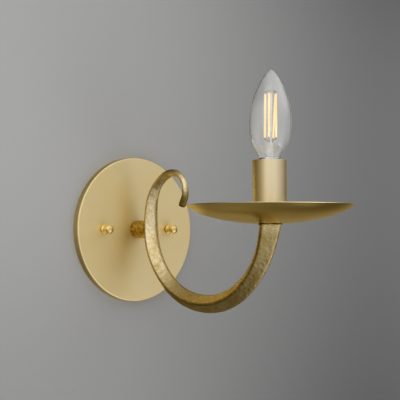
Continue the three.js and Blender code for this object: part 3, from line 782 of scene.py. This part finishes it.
# uneven brazed bead where the bar's end meets the dish
def build_bead():
    # the end plane under the dish, not the top of the curl
    ends = [v.co for v in arm.data.vertices if v.co.y < -0.160 and v.co.z > (ARM_TOP - 0.05) * MM]
    if len(ends) < 60 or max(v.z for v in ends) > (ARM_TOP + 0.3) * MM:
        raise RuntimeError("the arm's end was not found")
    cx, cy = (min(v.x for v in ends) + max(v.x for v in ends)) / 2, (min(v.y for v in ends) + max(v.y for v in ends)) / 2
    reach = {}
    for v in ends:
        f = math.atan2(v.y - cy, v.x - cx)
        k = int((f + math.pi) / (2 * math.pi) * 96) % 96
        reach[k] = max(reach.get(k, 0.0), math.hypot(v.x - cx, v.y - cy))
    keys = sorted(reach)
    bm = bmesh.new()
    seg, sides, rings = 240, 14, []
    for i in range(seg):
        f = -math.pi + 2 * math.pi * i / seg
        r0 = float(np.interp(f, [-math.pi + 2 * math.pi * (k + 0.5) / 96 for k in keys], [reach[k] for k in keys], period=2 * math.pi))
        q = Vector((math.cos(f) * 5.0, math.sin(f) * 5.0, 0.0))
        thick = 0.46 + 0.18 * noise.noise(q * 0.9) + 0.15 * noise.noise(q * 2.3)
        lift = 2.72 + 0.10 * noise.noise(q * 1.3 + Vector((3, 0, 9)))
        ring = []
        for k in range(sides):
            a = 2 * math.pi * k / sides
            rough_ = 1.0 + 0.16 * noise.noise(q * 2.0 + Vector((math.cos(a), math.sin(a), 0.0)) * 1.6)
            r = r0 + (-0.34 + thick * rough_ * math.cos(a)) * MM
            z = (lift + thick * 0.95 * rough_ * math.sin(a)) * MM
            ring.append(bm.verts.new((cx + r * math.cos(f), cy + r * math.sin(f), min(z, 0.00342))))
        rings.append(ring)
    for i in range(seg):
        a, b = rings[i], rings[(i + 1) % seg]
        for k in range(sides):
            j = (k + 1) % sides
            bm.faces.new((a[k], b[k], b[j], a[j]))
    return finish_bmesh(bm, "arm_dish_bead", 60.0)


bead_ring = build_bead()
give(bead_ring, M["bead"])
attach(bead_ring, "root")

# --------------------------------------------------------------- the dish
under = smooth_line([(13.0, 3.3), (20.0, 3.75), (28.0, 4.65), (36.0, 5.85), (44.0, 7.45), (51.0, 9.25), (57.0, 11.2), (62.0, 13.4), (65.8, 15.6), (68.4, 17.35), (69.45, 18.05)], 5)
top = []
for i in range(len(under) - 1, -1, -1):
    a, b = under[max(0, i - 1)], under[min(len(under) - 1, i + 1)]
    ln = math.hypot(b[0] - a[0], b[1] - a[1])
    top.append((under[i][0] - (b[1] - a[1]) / ln * 1.2, under[i][1] + (b[0] - a[0]) / ln * 1.2))
rim = [(69.72, 18.26), (69.82, 18.50), (69.74, 18.74), (69.52, 18.90), (69.22, 18.94), (68.96, 18.90)]
dish_profile = [(5.2, 3.42), (5.32, 3.3), (12.0, 3.3)] + under + rim + top[1:] + [(12.0, 4.5), (5.32, 4.5), (5.2, 4.38)]
dish = lathe("bobeche_shell", dish_profile, 288, "Z", AXIS)
weighted(dish)
give(dish, M["dish"])
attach(dish, "root"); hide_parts("bobeche_dish")

# -------------------------------------------------- candle cover and liner
cover = lathe("candle_tube", fillet([(13.39, 4.95, 0.3), (14.29, 4.95, 0.3), (14.29, 55.85, 0.42), (13.39, 55.85, 0.3)], 0.3, 5), 160, "Z", AXIS)
weighted(cover)
give(cover, M["cover"])
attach(cover, "candle_sleeve"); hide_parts("candle_cover")

liner = lathe("fibre_sleeve", fillet([(12.7, 5.25), (13.09, 5.25), (13.09, 55.2), (12.7, 55.2)], 0.12, 3), 128, "Z", AXIS)
give(liner, M["fibre"])
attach(liner, "candle_sleeve"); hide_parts("candle_cover_liner")

# ------------------------------------------------------------------ the lamp
# the blown glass and all that is sealed in it sit 1.7 degrees off straight in the cap, as in the CAD
PIVOT = Vector((AXIS[0], AXIS[1], 0.056))
LEAN = Matrix.Translation(PIVOT) @ Matrix.Rotation(math.radians(1.7), 4, Vector((0.6730, 0.7396, 0.0)).normalized()) @ Matrix.Translation(-PIVOT)


def lean(obj):
    obj.data.transform(LEAN)
    return obj


glass_out = smooth_line([
    (8.5, 51.65), (8.52, 54.5), (8.62, 57.0), (9.0, 58.2), (9.6, 59.8), (10.3, 61.4), (11.8, 63.6), (13.4, 66.0), (14.85, 68.9), (15.8, 71.8), (16.65, 76.2),
    (17.3, 81.3), (17.6, 87.0), (17.5, 92.4), (17.1, 97.2), (16.3, 102.0), (15.1, 106.8), (13.5, 111.4), (11.6, 116.1),
    (9.6, 120.4), (7.6, 124.2), (5.4, 127.6), (3.3, 130.3), (1.5, 132.0), (0.0, 132.6)], 4)
glass_in = []
for i in range(len(glass_out)):
    a, b = glass_out[max(0, i - 1)], glass_out[min(len(glass_out) - 1, i + 1)]
    ln = math.hypot(b[0] - a[0], b[1] - a[1])
    glass_in.append((max(0.0, glass_out[i][0] - 0.65 * (b[1] - a[1]) / ln), glass_out[i][1] + 0.65 * (b[0] - a[0]) / ln))
glass_in[-1] = (0.0, 132.6 - 0.8)
glass_in = [q for q in glass_in[:-1] if q[0] > 0.15] + [glass_in[-1]]
bulb = lathe("lamp_envelope", list(reversed(glass_in)) + glass_out, 128, "Z", AXIS, closed=False, angle=60.0)
lean(bulb)
give(bulb, M["glass"])
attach(bulb, "lamp"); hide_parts("lamp_glass")

stem = lathe("lamp_stem_glass", [(0.0, 51.8)] + fillet([(0.01, 51.8), (7.1, 51.8, 0.2), (7.1, 52.2, 0.2)], 0.1, 3, closed=False)[1:] + smooth_line([
    (6.9, 52.5), (5.6, 54.6), (4.2, 58.4), (3.3, 62.6), (2.95, 65.4), (2.85, 68.0), (2.7, 70.0), (1.9, 71.3), (1.25, 73.0), (1.08, 76.0), (1.05, 90.0), (1.05, 110.8)], 4)
    + [(0.9, 111.6), (0.55, 112.05), (0.0, 112.2)], 48, "Z", AXIS, closed=False, angle=50.0)
lean(stem)
give(stem, M["stem"])
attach(stem, "lamp"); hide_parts("lamp_stem")


def thread(r, h, f):
    """Rolled thread on the screw part of the cap, right-handed, 2.54 mm pitch."""
    if 37.6 < h < 47.2:
        fade = min(1.0, (h - 37.6) / 1.0, (47.2 - h) / 1.0)
        wave = math.cos(2 * math.pi * (h / 2.54) - f)
        return r + (-0.16 + 0.16 * wave) * fade, h
    return r, h


cap_out = [(3.4, 35.3), (5.2, 35.3), (5.55, 35.55), (5.8, 36.0), (5.9, 36.5)] + [(5.9, h) for h in np.arange(37.0, 47.9, 0.3)]
cap_out += smooth_line([(5.9, 47.9), (6.05, 48.5), (6.6, 49.2), (7.9, 49.9), (8.8, 50.5), (9.22, 51.2), (9.3, 52.2)], 3)
cap_out += [(9.3, 56.9), (9.24, 57.3), (9.12, 57.53), (9.0, 57.6), (8.95, 57.55), (8.9, 57.4)]
cap_in = [(8.9, 52.4), (8.8, 51.5), (8.35, 50.8), (7.5, 50.2), (6.2, 49.5), (5.6, 48.8), (5.45, 47.9)] + [(5.45, h) for h in np.arange(47.6, 36.6, -0.6)]
cap_in += [(5.35, 36.2), (5.05, 35.8), (3.4, 35.7)]
cap = lathe("lamp_screw_cap", cap_out + cap_in, 96, "Z", AXIS, wobble=thread)
weighted(cap)
give(cap, M["nickel"])
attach(cap, "lamp"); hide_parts("lamp_cap")

U, V = (0.7396, -0.6730), (0.6730, 0.7396)


def at(u, v, z):
    return (U[0] * u + V[0] * v, 183.92 - (U[1] * u + V[1] * v), z)


FIL = [((-4.3, 2.0), (-4.8, 1.6)), ((-1.4, -4.4), (-2.0, -4.0)), ((2.9, 3.9), (3.7, 2.7)), ((4.9, -1.9), (3.9, -2.2))]
for i, (low, high) in enumerate(FIL):
    mid = ((low[0] + high[0]) / 2, (low[1] + high[1]) / 2)
    rod = tube(f"led_filament_{i + 1}", [at(*low, 75.4), at(*mid, 93.3), at(*high, 111.2)], 0.80, 16, 12)
    lean(rod)
    give(rod, M["filament"])
    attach(rod, "lamp"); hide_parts(f"lamp_filament_{i + 1}")
    u, v = low
    k = 2.15 / math.hypot(u, v)
    lead = tube(f"filament_lead_{i + 1}", [at(u * k, v * k, 70.9), at(u * (k + 0.12), v * (k + 0.12), 72.6), at(u * 0.86, v * 0.86, 73.4), at(u * 0.98, v * 0.98, 73.9), at(u, v, 74.7)], 0.28, 10, 8)
    lean(lead)
    give(lead, M["lead"])
    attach(lead, "lamp"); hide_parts(f"lamp_lead_{i + 1}")
for name, a, b in (("1", 0, 1), ("2", 2, 3)):
    A, B = FIL[a][1], FIL[b][1]
    mu, mv = (A[0] + B[0]) / 2 * 0.55, (A[1] + B[1]) / 2 * 0.55
    wire = tube(f"filament_bridge_{name}", [at(*A, 111.9), at(A[0] * 0.93, A[1] * 0.93, 113.1), at(mu, mv, 113.9), at(B[0] * 0.93, B[1] * 0.93, 113.1), at(*B, 111.9)], 0.28, 10, 10)
    lean(wire)
    give(wire, M["lead"])
    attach(wire, "lamp"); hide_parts(f"lamp_top_wire_{name}")

# --------------------------------- CAD pieces kept: materials and soft edges
KEPT = {
    "mounting_crossbar": ("zinc", 0.25), "canopy_stud_left": ("steel", 0.3), "canopy_stud_right": ("steel", 0.3),
    "stud_locknut_left": ("steel", 0.3), "stud_locknut_right": ("steel", 0.3), "ground_screw": ("green", 0.25),
    "ground_wire": ("copper", 0.0), "hub_nipple": ("raw", 0.2), "hub_locknut": ("steel", 0.3), "hub_lockwasher": ("steel", 0.15),
    "dish_nipple": ("raw", 0.2), "dish_washer": ("steel", 0.15), "dish_locknut": ("steel", 0.3), "socket_strap": ("zinc", 0.15),
    "socket_body": ("phenolic", 0.3), "socket_rivet": ("steel", 0.15), "socket_shell": ("raw", 0.08),
    "socket_center_contact": ("contact", 0.06), "terminal_screw_line": ("raw", 0.12), "terminal_screw_neutral": ("nickel", 0.12),
    "lamp_insulator": ("insulator", 0.1), "lamp_foot_contact": ("nickel", 0.1), "lamp_driver": ("board", 0.1),
    "line_wire": ("black_wire", 0.0), "neutral_wire": ("white_wire", 0.0),
}
for node, (key, bevel) in KEPT.items():
    obj = NODES[node]
    weld = obj.modifiers.new("weld", "WELD")
    weld.merge_threshold = 1e-6
    if bevel:
        bev = obj.modifiers.new("edges", "BEVEL")
        bev.width, bev.segments, bev.limit_method, bev.angle_limit = bevel * MM, 2, "ANGLE", math.radians(35)
        bev.use_clamp_overlap = True
        bev.harden_normals = False
    else:
        sub = obj.modifiers.new("round", "SUBSURF")
        sub.levels = sub.render_levels = 1
    give(obj, M[key])

for name, obj in NODES.items():
    if not obj.hide_render and name not in KEPT:
        raise RuntimeError(f"{name} shows without a finish")

# ------------------------------------------------------------------- studio
world = bpy.data.worlds.new("studio")
scene.world = world
world.use_nodes = True
wt = world.node_tree
bg = wt.nodes["Background"]


def wnode(kind, **props):
    n = wt.nodes.new(kind)
    for k, v in props.items():
        setattr(n, k, v)
    return n


coord = wnode("ShaderNodeTexCoord").outputs["Generated"]


def toward(az, el):
    """Direction from the object: azimuth 0 is straight out from the wall, negative to the left."""
    a, e = math.radians(az), math.radians(el)
    return (math.sin(a) * math.cos(e), -math.cos(a) * math.cos(e), math.sin(e))


def lobe(az, el, level):
    """Strength of a soft round patch of studio light about a direction, half as bright 23 degrees from its middle."""
    dot = wnode("ShaderNodeVectorMath", operation="DOT_PRODUCT")
    wt.links.new(coord, dot.inputs[0])
    dot.inputs[1].default_value = toward(az, el)
    drop = wnode("ShaderNodeMath", operation="MULTIPLY_ADD")
    wt.links.new(dot.outputs["Value"], drop.inputs[0])
    drop.inputs[1].default_value, drop.inputs[2].default_value = 9.0, -9.0
    soft = wnode("ShaderNodeMath", operation="EXPONENT")
    wt.links.new(drop.outputs[0], soft.inputs[0])
    part = wnode("ShaderNodeMath", operation="MULTIPLY")
    wt.links.new(soft.outputs[0], part.inputs[0])
    part.inputs[1].default_value = level
    return part.outputs[0]


SKY = [
    (0, -62, 0.587), (180, -62, 0.286), (-125, -30, 0.111), (-45, -30, 0.424), (25, -30, 0.860), (140, -30, 0.262),
    (-150, 3, 0.107), (-120, 3, 0.230), (-92, 3, 0.012), (-66, 3, 0.465), (-14, 3, 0.707), (90, 3, 0.096),
    (120, 3, 0.322), (150, 3, 0.042), (180, 3, 0.063), (-85, 33, 0.796), (-50, 33, 0.685), (20, 33, 0.551),
    (55, 33, 0.763), (180, 33, 0.120), (-20, 62, 0.443), (50, 62, 0.140), (0, 88, 0.511),
]
# the studio is neutral in front and warmer behind the wall's plane, which only the brass's edges mirror
NEUTRAL, WARM = (1.0, 1.0, 1.0), (1.10, 0.97, 0.70)
total = None
for az, el, level in SKY:
    tint = WARM if abs(az) > 100 and el > -50 else NEUTRAL
    part = wnode("ShaderNodeVectorMath", operation="SCALE")
    part.inputs[0].default_value = tint
    wt.links.new(lobe(az, el, level), part.inputs["Scale"])
    part = part.outputs[0]
    if total is None:
        total = part
    else:
        add = wnode("ShaderNodeVectorMath", operation="ADD")
        wt.links.new(total, add.inputs[0])
        wt.links.new(part, add.inputs[1])
        total = add.outputs[0]
wt.links.new(total, bg.inputs["Color"])
bg.inputs["Strength"].default_value = 1.0

# square softboxes: where, how wide, what they point at, watts
for name, pos, size, aim, watts in (
    ("bounce_low", (0.35, -0.6, -0.7), 0.7, (0.0, -0.1, 0.0), 1.07),
):
    ld = bpy.data.lights.new(name, "AREA")
    ld.shape, ld.size, ld.energy = "SQUARE", size, watts
    lamp = bpy.data.objects.new(name, ld)
    scene.collection.objects.link(lamp)
    lamp.location = pos
    lamp.rotation_euler = (Vector(aim) - Vector(pos)).to_track_quat("-Z", "Y").to_euler()
    lamp.visible_camera = False

# wall: pale grey paint, opaque from the room and clear from behind, so that the mounting side can be looked at
bm = bmesh.new()
bmesh.ops.create_grid(bm, x_segments=8, y_segments=8, size=3.0)
wall_mesh = bpy.data.meshes.new("wall")
bm.to_mesh(wall_mesh); bm.free()
wall = link("wall", wall_mesh)
wall.matrix_world = Matrix.Translation((0.0, 0.0004, 1.6)) @ Matrix.Rotation(math.radians(90), 4, "X")
wm = Mat("wall_paint", Roughness=0.9, Specular_IOR_Level=0.2)
px, py, pz = wm.split()
wx = wm.math("MINIMUM", wm.math("MAXIMUM", px, -0.16), 0.46)
wz = wm.math("MINIMUM", wm.math("MAXIMUM", wm.math("ADD", py, 1.6), -0.23), 0.32)
# staging only: painted light falloff, the wall's colour is lighter at the upper left and darker to the right, standing
# in for the studio light falling off across the wall
xx, zz, xz = wm.math("MULTIPLY", wx, wx), wm.math("MULTIPLY", wz, wz), wm.math("MULTIPLY", wx, wz)
shade = 0.5127
for level, term in (
    (-0.5329, wx), (0.3552, wz), (-1.067, xx), (-0.3699, xz), (-0.5455, zz),
    (2.7722, wm.math("MULTIPLY", xx, wx)), (-1.1942, wm.math("MULTIPLY", zz, wz)),
):
    shade = wm.math("MULTIPLY_ADD", term, level, shade)
# the painted falloff goes on: darker still to the right of x = 0.46 m
shade = wm.math("MULTIPLY", shade, wm.span(px, 0.46, 1.3, 1.0, 0.5))
tone = wm.join(shade, shade, shade)
grainy = wm.noise(700.0, 3.0)
wm.base(tone)
wm.rough(wm.span(grainy, 0.3, 0.7, 0.85, 0.95))
wm.bump(grainy, 0.02, 0.2)
clear = wm.node("ShaderNodeBsdfTransparent")
geo = wm.node("ShaderNodeNewGeometry")
two = wm.node("ShaderNodeMixShader")
wm.nt.links.new(geo.outputs["Backfacing"], two.inputs[0])
wm.nt.links.new(wm.bsdf.outputs[0], two.inputs[1])
wm.nt.links.new(clear.outputs[0], two.inputs[2])
wm.nt.links.new(two.outputs[0], wm.nt.nodes["Material Output"].inputs["Surface"])
give(wall, wm)

bm = bmesh.new()
bmesh.ops.create_grid(bm, x_segments=8, y_segments=8, size=3.0)
floor_mesh = bpy.data.meshes.new("floor")
bm.to_mesh(floor_mesh); bm.free()
floor = link("floor", floor_mesh)
floor.matrix_world = Matrix.Translation((0.0, -1.5, -1.4))
fm = Mat("floor_paint", Roughness=0.8, Specular_IOR_Level=0.3)
fm.base(fm.mix(fm.noise(6.0, 3.0), (0.62, 0.61, 0.60), (0.58, 0.575, 0.565)))
give(floor, fm)
# the object mirrors the studio itself, so the backdrop stays out of its reflections
for backdrop in (floor, wall):
    backdrop.visible_glossy = backdrop.visible_diffuse = backdrop.visible_shadow = False
